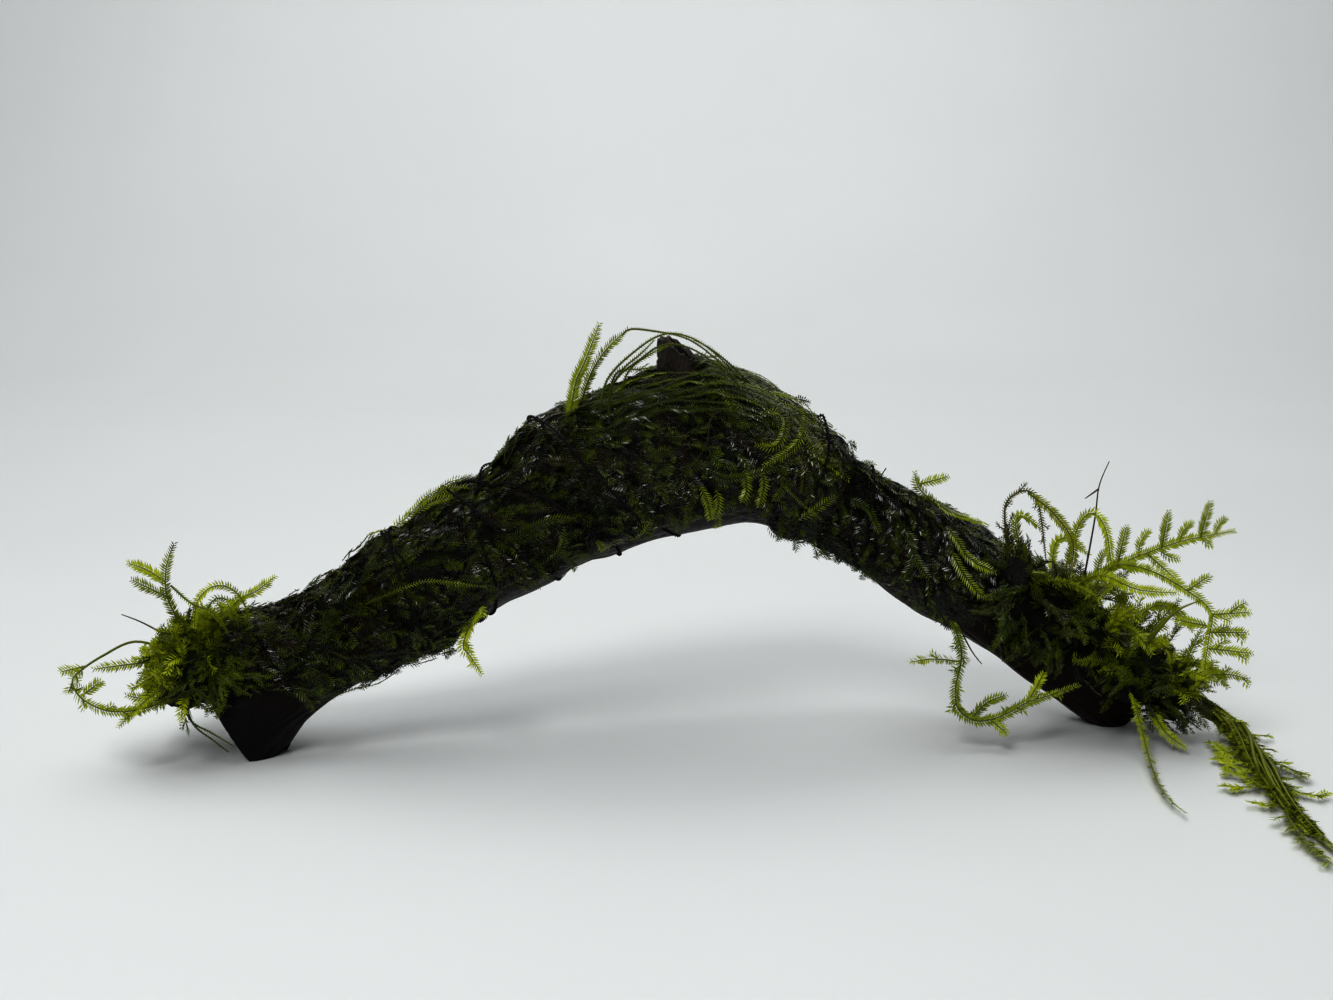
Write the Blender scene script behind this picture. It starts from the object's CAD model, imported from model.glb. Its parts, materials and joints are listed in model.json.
import json
import math
import random
from functools import partial

import bmesh
import bpy
import numpy as np
from mathutils import Matrix, Vector, noise

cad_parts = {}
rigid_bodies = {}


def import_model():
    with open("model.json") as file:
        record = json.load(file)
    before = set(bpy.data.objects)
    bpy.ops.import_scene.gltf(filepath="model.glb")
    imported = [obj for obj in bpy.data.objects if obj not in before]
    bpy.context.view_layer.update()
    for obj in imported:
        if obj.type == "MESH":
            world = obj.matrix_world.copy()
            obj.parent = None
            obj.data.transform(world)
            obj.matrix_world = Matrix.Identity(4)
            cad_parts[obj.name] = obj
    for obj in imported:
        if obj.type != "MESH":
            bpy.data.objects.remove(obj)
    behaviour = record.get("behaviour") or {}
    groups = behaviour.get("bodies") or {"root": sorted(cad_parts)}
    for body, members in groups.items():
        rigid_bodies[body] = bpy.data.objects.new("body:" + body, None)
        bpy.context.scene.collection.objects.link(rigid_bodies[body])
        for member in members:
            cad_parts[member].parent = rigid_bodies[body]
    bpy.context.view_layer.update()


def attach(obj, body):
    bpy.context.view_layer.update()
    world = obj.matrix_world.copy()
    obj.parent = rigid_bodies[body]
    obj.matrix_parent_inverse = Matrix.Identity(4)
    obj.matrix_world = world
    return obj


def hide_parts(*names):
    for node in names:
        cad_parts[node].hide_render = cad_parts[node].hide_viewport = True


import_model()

mm = 0.001
noise.seed_set(4)  # noise_vector follows the clock without a seed


# Small helpers for meshes and node trees

def addNode(tree, kind, inputs=None, **settings):
    node = tree.nodes.new(kind)
    for key, value in settings.items():
        setattr(node, key, value)
    for key, value in (inputs or {}).items():
        if isinstance(value, bpy.types.Node):
            value = value.outputs[0]
        if isinstance(value, bpy.types.NodeSocket):
            tree.links.new(value, node.inputs[key])
        else:
            node.inputs[key].default_value = value
    return node


def newTree(name, kind, inputs, outputs):  # a number is an input's default, a word its kind
    tree = bpy.data.node_groups.new(name, kind)
    for way, sockets in (("INPUT", inputs), ("OUTPUT", outputs)):
        for label, value in sockets.items():
            plain = {float: "Float", int: "Int"}.get(type(value))
            made = tree.interface.new_socket(label, in_out=way, socket_type="NodeSocket" + (plain or value))
            if plain:
                made.default_value = value
    return tree, tree.nodes.new("NodeGroupInput").outputs, tree.nodes.new("NodeGroupOutput").inputs


def linked(name, mesh, material=None):
    made = bpy.data.objects.new(name, mesh)
    bpy.context.scene.collection.objects.link(made)
    if material is not None:
        mesh.materials.clear()
        mesh.materials.append(material)
    return made


def addLayers(mesh, **layers):
    for label, values in layers.items():
        values = np.array(values, dtype=np.float32)
        kind, field = ("FLOAT", "value") if values.ndim == 1 else ("FLOAT_VECTOR", "vector")
        mesh.attributes.new(label, kind, "POINT").data.foreach_set(field, values.ravel())


def meshFrom(name, verts, faces, edges=(), **layers):
    mesh = bpy.data.meshes.new(name)
    mesh.from_pydata([tuple(v) for v in verts], list(edges), [tuple(f) for f in faces])
    addLayers(mesh, **layers)
    return mesh


def plainMesh(obj):
    graph = bpy.context.evaluated_depsgraph_get()
    graph.update()
    mesh = bpy.data.meshes.new_from_object(obj.evaluated_get(graph))
    obj.modifiers.clear()
    obj.data = mesh
    return obj


def runTree(obj, tree, **values):
    step = obj.modifiers.new(tree.name, "NODES")
    step.node_group = tree
    sockets = {item.name: item.identifier for item in tree.interface.items_tree if item.in_out == "INPUT"}
    for label, value in values.items():
        step[sockets[label.replace("_", " ")]] = value
    return plainMesh(obj)


def joinAll(name, objs):
    objs = [obj for obj in objs if obj is not None]
    with bpy.context.temp_override(active_object=objs[0], object=objs[0], selected_objects=objs,
                                   selected_editable_objects=objs):
        bpy.ops.object.join()
    objs[0].name = name
    return objs[0]


def smoothPath(points, spacing):
    pts = np.array(points, dtype=float)
    padded = np.vstack([pts[:1], pts, pts[-1:]])
    t = (np.arange(24) / 24)[:, None]
    rows = []
    for p, q, r, s in zip(padded, padded[1:], padded[2:], padded[3:]):
        rows.append(0.5 * (2 * q + (r - p) * t + (2 * p - 5 * q + 4 * r - s) * t ** 2
                           + (3 * q - p - 3 * r + s) * t ** 3))
    dense = np.vstack([*rows, pts[-1:]])
    steps = np.linalg.norm(np.diff(dense[:, :3], axis=0), axis=1)
    travelled = np.concatenate([[0.0], np.cumsum(steps)])
    count = max(2, round(travelled[-1] / spacing))
    want = np.linspace(0, travelled[-1], count + 1)
    return np.stack([np.interp(want, travelled, dense[:, k]) for k in range(dense.shape[1])], axis=1)


def smoothStep(value, low, high):
    share = min(max((value - low) / (high - low), 0.0), 1.0)
    return share * share * (3 - 2 * share)


# The branch, with the same named values as the solids

spineMm = (
    (-96.0, 14.0, 12.2, 7.5), (-85.0, 15.0, 12.7, 9.6), (-75.0, 16.0, 14.6, 10.0),
    (-62.0, 17.0, 20.8, 8.5), (-44.0, 19.0, 31.0, 10.0), (-25.5, 22.0, 43.2, 11.9),
    (-7.5, 24.0, 51.0, 12.6), (3.7, 25.0, 53.2, 12.6), (14.8, 26.0, 51.3, 10.4),
    (29.9, 28.0, 43.2, 8.2), (47.2, 30.0, 32.7, 8.2), (61.0, 32.0, 22.4, 8.1),
    (73.0, 33.0, 14.2, 8.3), (81.0, 34.0, 8.2, 8.2), (88.0, 34.0, 3.4, 7.2),
)
wood = {
    "rings": 460, "sides": 168,
    "lumps": (0.17, 0.06), "flutes": ((0.045, 3, 13.0), (0.025, 5, -21.0)),
    # place along, degrees round, height mm, length mm, spread degrees
    "burls": ((0.074, 180.0, 7.6, 5.2, 42.0), (0.245, -60.0, 1.6, 5.0, 40.0),
              (0.358, 0.0, -4.3, 7.0, 60.0), (0.395, 0.0, 1.0, 7.0, 60.0), (0.420, 180.0, 2.4, 7.0, 42.0),
              (0.535, 0.0, 1.0, 7.0, 50.0), (0.60, -70.0, 1.5, 6.0, 50.0),
              (0.70, 10.0, 1.2, 5.0, 40.0), (0.79, 130.0, 1.4, 5.0, 50.0)),
    "endRound": 4.0 * mm, "endShrink": 0.32,
    "grooveDepth": 0.42 * mm, "fineGrain": 0.10 * mm,
    "breakPoint": (-84.5, 14.0, 11.0), "breakNormal": (-0.87, -0.12, -0.47),
    "stubBase": (0.6, 25.0, 60.0), "stubTop": (0.2, 24.2, 73.8), "stubRadius": 3.9 * mm,
}
coat = {
    "visualStart": 0.082,  # the left coat runs on under the tuft there
    "spans": {"mossMatLeft": (0.142, 0.405), "mossMatCrown": (0.409, 0.640), "mossMatRight": (0.644, 0.802)},
    "depths": {"mossMatLeft": (1.2, 2.4, 2.5), "mossMatCrown": (2.7, 3.2, 1.9),
               "mossMatRight": (1.2, 1.6, 1.9)},
    "lift": 0.5 * mm, "uneven": 0.45, "front": 151.0, "back": 131.0, "ragged": 8.0,
    "bareStrip": (0.25, 0.62, 129.0), "bareRidges": ((0.690, 2.0, 9.5, 5.0), (0.615, 6.0, 7.5, 4.5)),
    "cell": 0.62 * mm, "lumpHeight": 0.55 * mm, "girthDegrees": 282, "girthRadius": 13.5 * mm,
    "handLift": 0.4,
}

spine = smoothPath([tuple(v * mm for v in point) for point in spineMm], 0.5 * mm)
spineLength = float(np.linalg.norm(np.diff(spine[:, :3], axis=0), axis=1).sum())


def spineFrame(along):
    place = min(max(along, 0.0), 1.0) * (len(spine) - 1)
    i = min(int(place), len(spine) - 2)
    x, y, z, radius = (float(v) for v in spine[i] + (spine[i + 1] - spine[i]) * (place - i))
    forward = Vector(spine[min(i + 5, len(spine) - 1)][:3] - spine[max(i - 4, 0)][:3]).normalized()
    back = Vector((0, 0, 1)).cross(forward).normalized()
    return Vector((x, y, z)), forward.cross(back), back, radius


def woodRadius(along, degrees, mean):
    angle = math.radians(degrees)
    spot = Vector((along * 11.0, math.cos(angle) * 1.2, math.sin(angle) * 1.2))
    wide, narrow = wood["lumps"]
    shape = wide * noise.noise(spot) + narrow * noise.noise(spot * 1.9)
    shape += sum(share * math.cos(count * angle + twist * along) for share, count, twist in wood["flutes"])
    radius = mean * (1 + shape)
    for place, where, height, length, spread in wood["burls"]:
        reach = (along - place) * spineLength / (length * mm)
        if abs(reach) < 4:
            turn = (degrees - where + 180) % 360 - 180
            radius += height * mm * math.exp(-reach ** 2 - (turn / spread) ** 2)
    end = min(along, 1 - along) * spineLength
    if end < wood["endRound"]:
        radius *= 1 - wood["endShrink"] * (1 - end / wood["endRound"]) ** 2
    return radius


def surface(along, degrees, lift=0.0):
    centre, up, back, mean = spineFrame(along)
    angle = math.radians(degrees)
    out = up * math.cos(angle) + back * math.sin(angle)
    return centre + out * (woodRadius(along, degrees, mean) + lift)


def coverEdges(along):
    front = coat["front"] - 62 * (1 - smoothStep(along, 0.085, 0.17))
    start, stop, bare = coat["bareStrip"]
    inside = min((along - start) / 0.04, (stop - along) / 0.04, 1.0)
    if inside > 0:
        front += (bare - coat["front"]) * inside
    front += coat["ragged"] * noise.noise(Vector((along * 34, 3.0, 0)))
    return front, coat["back"] + coat["ragged"] * noise.noise(Vector((along * 29, 9.0, 0)))


def coatDepth(along, degrees):
    for name, (start, stop) in coat["spans"].items():
        if along <= stop or name == "mossMatRight":
            break
    share = min(max((along - start) / (stop - start), 0.0), 1.0)
    first, middle, last = coat["depths"][name]
    depth = first * (1 - share) + last * share + (middle - (first + last) / 2) * math.sin(math.pi * share)
    angle = math.radians(degrees)
    spot = Vector((along * 16, math.cos(angle) * 1.1, math.sin(angle) * 1.1))
    return depth * mm * (1 + coat["uneven"] * noise.noise(spot))


# Materials

def mapRange(tree, value, fromMin, fromMax, toMin=0.0, toMax=1.0):
    node = addNode(tree, "ShaderNodeMapRange", {0: value, 1: fromMin, 2: fromMax, 3: toMin, 4: toMax})
    return node.outputs[0]


def mixColour(tree, factor, a, b):
    node = tree.nodes.new("ShaderNodeMix")
    node.data_type = "RGBA"
    for index, value in ((0, factor), (6, a), (7, b)):
        if isinstance(value, bpy.types.NodeSocket):
            tree.links.new(value, node.inputs[index])
        else:
            node.inputs[index].default_value = value if index == 0 else (*value, 1.0)
    return node.outputs[2]


def newMaterial(name, **settings):
    material = bpy.data.materials.new(name)
    material.use_nodes = True
    shader = material.node_tree.nodes["Principled BSDF"]
    for label, value in settings.items():
        shader.inputs[label.replace("_", " ")].default_value = value
    return material, material.node_tree, shader


def makeUnevenness():
    tree, given, result = newTree(
        "unevenFinish", "ShaderNodeTree",
        {"Scale": 900.0, "Low": 0.4, "High": 0.7, "Bump": 0.3, "Height": 0.0002},
        {"Amount": "Float", "Roughness": "Float", "Normal": "Vector"})
    place = tree.nodes.new("ShaderNodeTexCoord").outputs["Object"]
    pattern = addNode(tree, "ShaderNodeTexNoise", {"Vector": place, "Scale": given["Scale"], "Detail": 4.0,
                                                   "Roughness": 0.6}).outputs["Fac"]
    spread = mapRange(tree, pattern, 0.3, 0.7)
    bump = addNode(tree, "ShaderNodeBump", {"Strength": given["Bump"], "Distance": given["Height"],
                                            "Height": pattern})
    tree.links.new(spread, result["Amount"])
    tree.links.new(mapRange(tree, spread, 0.0, 1.0, given["Low"], given["High"]), result["Roughness"])
    tree.links.new(bump.outputs[0], result["Normal"])
    return tree


unevenFinish = makeUnevenness()


def finish(tree, shader, **values):
    group = tree.nodes.new("ShaderNodeGroup")
    group.node_tree = unevenFinish
    for label, value in values.items():
        group.inputs[label].default_value = value
    tree.links.new(group.outputs["Roughness"], shader.inputs["Roughness"])
    tree.links.new(group.outputs["Normal"], shader.inputs["Normal"])
    return group.outputs["Amount"]


def attribute(tree, name):
    return addNode(tree, "ShaderNodeAttribute", attribute_name=name).outputs["Fac"]


coatColours = {"dark": (0.0008, 0.0014, 0.0006), "mid": (0.044, 0.070, 0.004), "bright": (0.40, 0.46, 0.012),
               "old": (0.038, 0.019, 0.007), "stem": (0.036, 0.035, 0.008), "shade": (0.004, 0.007, 0.002)}
frondColours = {"dark": (0.0010, 0.0018, 0.0008), "mid": (0.072, 0.112, 0.003), "bright": (0.41, 0.47, 0.010),
                "old": (0.050, 0.026, 0.009), "stem": (0.045, 0.040, 0.010), "shade": (0.024, 0.040, 0.004)}


def makeShootMaterial(name, look, low, high, **settings):
    material, tree, shader = newMaterial(name, **settings)
    amount = finish(tree, shader, Scale=700.0, Low=low, High=high, Bump=0.25, Height=0.00012)
    tone = attribute(tree, "tone")
    low = mixColour(tree, mapRange(tree, tone, 0.06, 0.5), look["dark"], look["mid"])
    green = mixColour(tree, mapRange(tree, tone, 0.5, 1.0), low, look["bright"])
    green = mixColour(tree, attribute(tree, "age"), green, look["old"])
    stem = mixColour(tree, mapRange(tree, attribute(tree, "stem"), 0.0, 1.0, 0.0, 0.6), green, look["stem"])
    shaded = mixColour(tree, mapRange(tree, amount, 0.0, 1.0, 0.0, 0.30), stem, look["shade"])
    tree.links.new(shaded, shader.inputs["Base Color"])
    return material


def makeFeltMaterial():
    material, tree, shader = newMaterial("mossFelt", Specular_IOR_Level=0.10)
    amount = finish(tree, shader, Scale=1300.0, Low=0.45, High=0.85, Bump=0.9, Height=0.0005)
    colour = mixColour(tree, amount, (0.0008, 0.0012, 0.0006), (0.004, 0.006, 0.002))
    colour = mixColour(tree, mapRange(tree, attribute(tree, "tone"), 0.3, 1.0, 0.0, 0.7), colour,
                       (0.016, 0.028, 0.004))
    tree.links.new(colour, shader.inputs["Base Color"])
    return material


def makeWoodMaterial():
    material, tree, shader = newMaterial("wetSpiderwood", Specular_IOR_Level=0.12)
    amount = finish(tree, shader, Scale=800.0, Low=0.34, High=0.62, Bump=0.35, Height=0.0003)
    grainMap = addNode(tree, "ShaderNodeUVMap", uv_map="grain").outputs[0]
    stretched = addNode(tree, "ShaderNodeMapping", {"Vector": grainMap, "Scale": (1.0, 9.0, 1.0)}).outputs[0]
    lines = addNode(tree, "ShaderNodeTexNoise", {"Vector": stretched, "Scale": 7.0, "Detail": 6.0,
                                                 "Roughness": 0.65}).outputs["Fac"]
    colour = mixColour(tree, mapRange(tree, lines, 0.35, 0.65), (0.004, 0.0022, 0.0016),
                       (0.020, 0.009, 0.005))
    colour = mixColour(tree, attribute(tree, "greyBare"), colour,
                       mixColour(tree, mapRange(tree, lines, 0.3, 0.7), (0.026, 0.025, 0.028),
                                 (0.062, 0.058, 0.062)))
    colour = mixColour(tree, attribute(tree, "ridgeBark"), colour,
                       mixColour(tree, mapRange(tree, lines, 0.35, 0.65), (0.012, 0.010, 0.008),
                                 (0.070, 0.058, 0.044)))
    colour = mixColour(tree, attribute(tree, "blackFoot"), colour, (0.0016, 0.0011, 0.0009))
    colour = mixColour(tree, mapRange(tree, amount, 0.0, 1.0, 0.0, 0.30), colour, (0.004, 0.003, 0.0026))
    tree.links.new(colour, shader.inputs["Base Color"])
    return material


def makeThreadMaterial():
    material, tree, shader = newMaterial("blackCotton", Specular_IOR_Level=0.12)
    amount = finish(tree, shader, Scale=5200.0, Low=0.62, High=0.95, Bump=0.8, Height=0.0001)
    tree.links.new(mixColour(tree, amount, (0.003, 0.003, 0.0035), (0.014, 0.014, 0.016)),
                   shader.inputs["Base Color"])
    return material


coatMaterial = makeShootMaterial("wetMoss", coatColours, 0.13, 0.33, Specular_IOR_Level=0.34)
frondMaterial = makeShootMaterial("mossFrond", frondColours, 0.34, 0.60, Specular_IOR_Level=0.18)
feltMaterial = makeFeltMaterial()
woodMaterial = makeWoodMaterial()
threadMaterial = makeThreadMaterial()
print("materials made")


# Geometry Nodes: leaves in two ranks along every stem line

def makeLeafPair(name, width):
    verts, faces = [], []
    for side, shift in ((1, 0.0), (-1, 0.3)):  # one leaf a side, a little apart along the stem
        k = len(verts)
        verts += [(shift - 0.06, 0, 0), (0.30 + 0.40 * width + shift, (0.38 - 0.30 * width) * side, 0.12),
                  (0.86 + shift, 1.10 * side, 0.06),
                  (0.30 - 0.40 * width + shift, (0.38 + 0.30 * width) * side, -0.04)]
        faces += [(k, k + 1, k + 2), (k, k + 2, k + 3)]
    return linked(name, meshFrom(name, verts, faces))


def maths(tree, operation, a, b, **settings):
    return addNode(tree, "ShaderNodeMath", {0: a, 1: b}, operation=operation, **settings)


def named(tree, label, kind="FLOAT"):
    return addNode(tree, "GeometryNodeInputNamedAttribute", {"Name": label},
                   data_type=kind).outputs["Attribute"]


def randomFrom(tree, low, high, seed):
    return addNode(tree, "FunctionNodeRandomValue", {2: low, 3: high, "Seed": seed}).outputs[1]


def eitherWay(tree, amount, seed):
    return randomFrom(tree, maths(tree, "MULTIPLY", amount, -1.0), amount, seed)


def turnLocally(tree, rotation, **angles):
    wobble = addNode(tree, "ShaderNodeCombineXYZ", angles)
    euler = addNode(tree, "FunctionNodeEulerToRotation", {"Euler": wobble})
    return addNode(tree, "FunctionNodeRotateRotation", {"Rotation": rotation, "Rotate By": euler},
                   rotation_space="LOCAL")


def endTree(tree, geometry, given, result):
    real = addNode(tree, "GeometryNodeRealizeInstances", {"Geometry": geometry})
    painted = addNode(tree, "GeometryNodeSetMaterial", {"Geometry": real, "Material": given["Material"]})
    tree.links.new(painted.outputs[0], result[0])
    return tree


def makeLeafyStemTree():
    tree, given, result = newTree(
        "leafyStem", "GeometryNodeTree",
        {"Geometry": "Geometry", "Leaf pair": "Object", "Leaf spacing": 0.48 * mm, "Stem sides": 4,
         "Stem step": 1.1 * mm, "Roll": 0.35, "Seed": 1, "Material": "Material"}, {"Geometry": "Geometry"})
    add = partial(addNode, tree)
    line = add("GeometryNodeMeshToCurve", {"Mesh": given["Geometry"]})
    turned = add("GeometryNodeSetCurveNormal",
                 {"Curve": line, "Normal": named(tree, "facing", "FLOAT_VECTOR")}, mode="FREE")
    coarse = add("GeometryNodeResampleCurve", {"Curve": turned, "Length": given["Stem step"]}, mode="LENGTH")
    profile = add("GeometryNodeCurvePrimitiveCircle", {"Resolution": given["Stem sides"], "Radius": 1.0})
    tube = add("GeometryNodeCurveToMesh", {"Curve": coarse, "Profile Curve": profile,
                                           "Scale": named(tree, "thick"), "Fill Caps": True})
    tube = add("GeometryNodeStoreNamedAttribute", {"Geometry": tube, "Name": "stem", "Value": 1.0})
    spots = add("GeometryNodeCurveToPoints", {"Curve": turned, "Length": given["Leaf spacing"]},
                mode="LENGTH")
    turn = add("FunctionNodeAxesToRotation", {"Primary Axis": spots.outputs["Tangent"],
                                              "Secondary Axis": spots.outputs["Normal"]},
               primary_axis="X", secondary_axis="Z")
    turn = turnLocally(tree, turn, X=eitherWay(tree, given["Roll"], given["Seed"]),
                       Y=randomFrom(tree, -0.12, 0.08, 7))
    size = maths(tree, "MULTIPLY", randomFrom(tree, 0.84, 1.14, 11), named(tree, "leaf"))
    leafy = add("FunctionNodeCompare", {0: named(tree, "leaf"), 1: 0.00001}, operation="GREATER_THAN")
    leafObject = add("GeometryNodeObjectInfo", {"Object": given["Leaf pair"]}).outputs["Geometry"]
    leaves = add("GeometryNodeInstanceOnPoints", {"Points": spots, "Selection": leafy, "Instance": leafObject,
                                                  "Rotation": turn, "Scale": size})
    both = add("GeometryNodeJoinGeometry")
    tree.links.new(tube.outputs[0], both.inputs[0])
    tree.links.new(leaves.outputs[0], both.inputs[0])
    return endTree(tree, both, given, result)


# Geometry Nodes: small shoots over a skin, combed the way that the skin says

def makeShootCoverTree():
    tree, given, result = newTree(
        "shootCover", "GeometryNodeTree",
        {"Geometry": "Geometry", "Shoots": "Collection", "Density": 600000.0, "Small": 0.7, "Large": 1.2,
         "Lean low": 0.05, "Lean high": 0.6, "Fan": 0.6, "Roll": 0.7, "Seed": 1, "Material": "Material"},
        {"Geometry": "Geometry"})
    add = partial(addNode, tree)
    density = maths(tree, "MULTIPLY", named(tree, "cover"), given["Density"])
    spots = add("GeometryNodeDistributePointsOnFaces", {"Mesh": given["Geometry"], "Density": density,
                                                        "Seed": given["Seed"]})
    turn = add("FunctionNodeAxesToRotation", {"Primary Axis": spots.outputs["Normal"],
                                              "Secondary Axis": named(tree, "comb", "FLOAT_VECTOR")},
               primary_axis="Z", secondary_axis="X")
    lean = maths(tree, "MULTIPLY", randomFrom(tree, given["Lean low"], given["Lean high"], 5), -1.0)
    turn = turnLocally(tree, turn, Z=eitherWay(tree, given["Fan"], 3))
    turn = turnLocally(tree, turn, X=eitherWay(tree, given["Roll"], 4), Y=lean)
    shoots = add("GeometryNodeCollectionInfo", {"Collection": given["Shoots"], "Separate Children": True,
                                                "Reset Children": True})
    choice = add("FunctionNodeRandomValue", {4: 0, 5: 40, "Seed": 8}, data_type="INT").outputs[2]
    placed = add("GeometryNodeInstanceOnPoints", {
        "Points": spots, "Instance": shoots, "Pick Instance": True, "Instance Index": choice,
        "Rotation": turn, "Scale": randomFrom(tree, given["Small"], given["Large"], 6)})
    tone = maths(tree, "ADD", named(tree, "skinTone"), randomFrom(tree, -0.22, 0.20, 9), use_clamp=True)
    toned = add("GeometryNodeStoreNamedAttribute", {"Geometry": placed, "Name": "tone", "Value": tone},
                domain="INSTANCE")
    return endTree(tree, toned, given, result)


wideLeaves = makeLeafPair("wideLeaves", 0.42)
narrowLeaves = makeLeafPair("narrowLeaves", 0.27)
leafyStemTree = makeLeafyStemTree()
shootCoverTree = makeShootCoverTree()


# Stems: each is a smooth line with its own thickness, leaf size, tone, age and facing

surfaceClear = 0.7  # mm that a stem line keeps over the surface it stands on
shoot = {"thick": 0.19, "tipThick": 0.08, "leaf": 1.0, "tone": 0.75, "age": 0.0, "step": 0.6}


def stem(points, **look):
    return {**shoot, "facing": (0.0, -1.0, 0.15), "points": smoothPath(points, shoot["step"]), **look}


def facingAt(item, i):
    facing = np.array(item["facing"], dtype=float)
    return facing if facing.ndim == 1 else facing[i]


def sideShoots(parent, rng, every, reach, angle=50.0, start=0.12):
    rows = parent["points"]
    lengths = np.linalg.norm(np.diff(rows, axis=0), axis=1)
    travelled = np.concatenate([[0.0], np.cumsum(lengths)])
    total = travelled[-1]
    made = []
    place, side = total * start, rng.choice((-1, 1))
    while place < total * 0.94:
        share = place / total
        i = min(int(np.searchsorted(travelled, place)), len(rows) - 2)
        tangent = rows[i + 1] - rows[i]
        tangent /= np.linalg.norm(tangent)
        facing = facingAt(parent, i)
        facing = facing / np.linalg.norm(facing)
        across = np.cross(facing, tangent)
        across /= max(np.linalg.norm(across), 1e-6)
        length = rng.uniform(*reach) * (1.0 - 0.62 * share) * min(1.0, 0.55 + 2.2 * share)
        turn = math.radians(angle + rng.uniform(-14, 14))
        out = tangent * math.cos(turn) + across * math.sin(turn) * side + facing * rng.uniform(-0.28, 0.28)
        ahead = tangent * math.cos(turn * 0.55) + across * math.sin(turn * 0.55) * side
        ahead += facing * rng.uniform(-0.2, 0.2)
        middle = rows[i] + out * length * 0.5
        tip = middle + ahead * length * 0.5
        made.append(stem([rows[i], middle, tip], tone=parent["tone"], age=parent["age"], facing=facing,
                         thick=parent["thick"] * 0.72, leaf=parent["leaf"] * 0.85))
        place += every * rng.uniform(0.7, 1.35)
        side = -side
    return made


def stemLines(name, stems):
    verts, edges = [], []
    thick, leaf, tone, age, facing = [], [], [], [], []
    for item in stems:
        rows = item["points"]
        first = len(verts)
        for i, point in enumerate(rows):
            share = i / (len(rows) - 1)
            verts.append((point[0] * mm, point[1] * mm, max(point[2], surfaceClear) * mm))
            thick.append((item["thick"] + (item["tipThick"] - item["thick"]) * share ** 1.4) * mm)
            shrink = min(1.0, 0.45 + share * 7.0) * (1.0 - 0.5 * smoothStep(share, 0.75, 1.0))
            bareFrom, bareTo = item.get("bare", (2.0, 2.0))
            leaf.append(0.0 if bareFrom <= share <= bareTo else item["leaf"] * shrink * mm)
            tone.append(item["tone"] + (0.16 * (share - 0.4)))
            age.append(item["age"] + item.get("deadTip", 0.0) * smoothStep(share, 0.82, 1.0))
            facing.append(facingAt(item, i))
        edges += [(first + i, first + i + 1) for i in range(len(rows) - 1)]
    mesh = meshFrom(name, verts, [], edges, thick=thick, leaf=leaf, tone=tone, age=age, facing=facing)
    return linked(name, mesh)


def growStems(name, stems, seed=1, material=frondMaterial, leaves=wideLeaves, **values):
    return runTree(stemLines(name, stems), leafyStemTree, Leaf_pair=leaves, Seed=seed, Material=material,
                   **values)


def keepAbove(obj, low=0.4 * mm):  # leaves that reach the surface lie on it
    places = np.empty(len(obj.data.vertices) * 3)
    obj.data.vertices.foreach_get("co", places)
    places[2::3] = np.maximum(places[2::3], low)
    obj.data.vertices.foreach_set("co", places)
    obj.data.update()


# The little shoots that cover coats and tufts: short combed ones, and larger feathery ones

def makeShoots(name, length, branches, seed, leaf, leaves, thick, spacing, count=8, rise=0.10):
    home = bpy.data.collections.new(name)
    rng = random.Random(seed)
    for k in range(count):
        size = length * rng.uniform(0.75, 1.25)
        bend, sway = rng.uniform(-0.35, 0.35), rng.uniform(-0.05, 0.16)
        line = [(-0.12 * size, 0, -0.35), (0.3 * size, 0.12 * bend * size, rise * size),
                (0.65 * size, 0.45 * bend * size, (rise + sway) * size),
                (size, bend * size, (rise + 0.5 * sway) * size)]
        main = stem(line, facing=(0.0, 0.0, 1.0), leaf=leaf, thick=thick, tone=0.5,
                    age=rng.choice((0, 0, 0, 0.12, 0.4)))
        stems = [main]
        if branches:
            stems += sideShoots(main, rng, every=size / branches, reach=(0.34 * size, 0.55 * size), angle=48)
        made = growStems(f"{name}_{k}", stems, seed + k, leaves=leaves, Leaf_spacing=spacing * mm,
                         Stem_sides=3, Stem_step=size * 0.4 * mm)
        bpy.context.scene.collection.objects.unlink(made)
        home.objects.link(made)
    bpy.context.scene.collection.children.link(home)
    return home


combedShoots = makeShoots("combedShoots", length=2.7, branches=0, seed=21, leaf=0.80, leaves=narrowLeaves,
                          thick=0.05, spacing=0.46)
featherShoots = makeShoots("featherShoots", length=7.0, branches=2, seed=31, leaf=0.90, leaves=wideLeaves,
                           thick=0.10, spacing=0.50)
print("shoots made")


# Wood

def woodGrain(along, angle):
    twist = angle + along * 2.2
    around = Vector((along * 13, math.cos(twist) * 4.6, math.sin(twist) * 4.6))
    groove = max(0.0, 1 - abs(noise.noise(around)) * 6.0) ** 1.6
    fine = noise.noise(Vector((along * 34, math.cos(twist) * 13, math.sin(twist) * 13)))
    return -wood["grooveDepth"] * groove + wood["fineGrain"] * fine


def ridgeShare(along, degrees):
    edge = 0.25 * noise.noise(Vector((along * 60, degrees * 0.06, 4.0)))
    share = 0.0
    for place, where, halfLength, halfWidth in coat["bareRidges"]:
        reach = (along - place) * spineLength / (halfLength * mm)
        turn = ((degrees - where + 180) % 360 - 180) * math.radians(1) * 8.5 / halfWidth
        share = max(share, 1 - smoothStep(math.hypot(reach, turn) + edge, 0.75, 1.1))
    return share


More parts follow.
